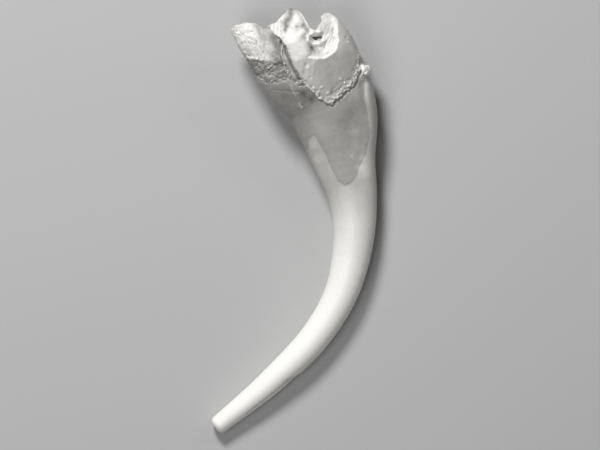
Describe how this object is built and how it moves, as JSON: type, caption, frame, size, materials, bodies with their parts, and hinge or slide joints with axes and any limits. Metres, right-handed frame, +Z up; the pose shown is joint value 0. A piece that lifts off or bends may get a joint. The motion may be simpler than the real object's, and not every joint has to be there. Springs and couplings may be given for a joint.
{
  "type": "snake fang",
  "caption": "Long curved venom fang of a large viper, smooth shaft with a worn tip and a flared root, with the broken bone of its socket still grown on to the root.",
  "frame": {"origin": "under the middle of the fang's box, on the surface that it lies on", "axes": "the fang lies on its side; +Y along its length from the tip towards the root, +X towards the outside of the bend, +Z up from the surface"},
  "size_m": [0.0154, 0.0394, 0.0078],
  "materials": {
    "fang": "satin"
  },
  "bodies": {
    "root": {"fang": "fang"}
  },
  "joints": []
}
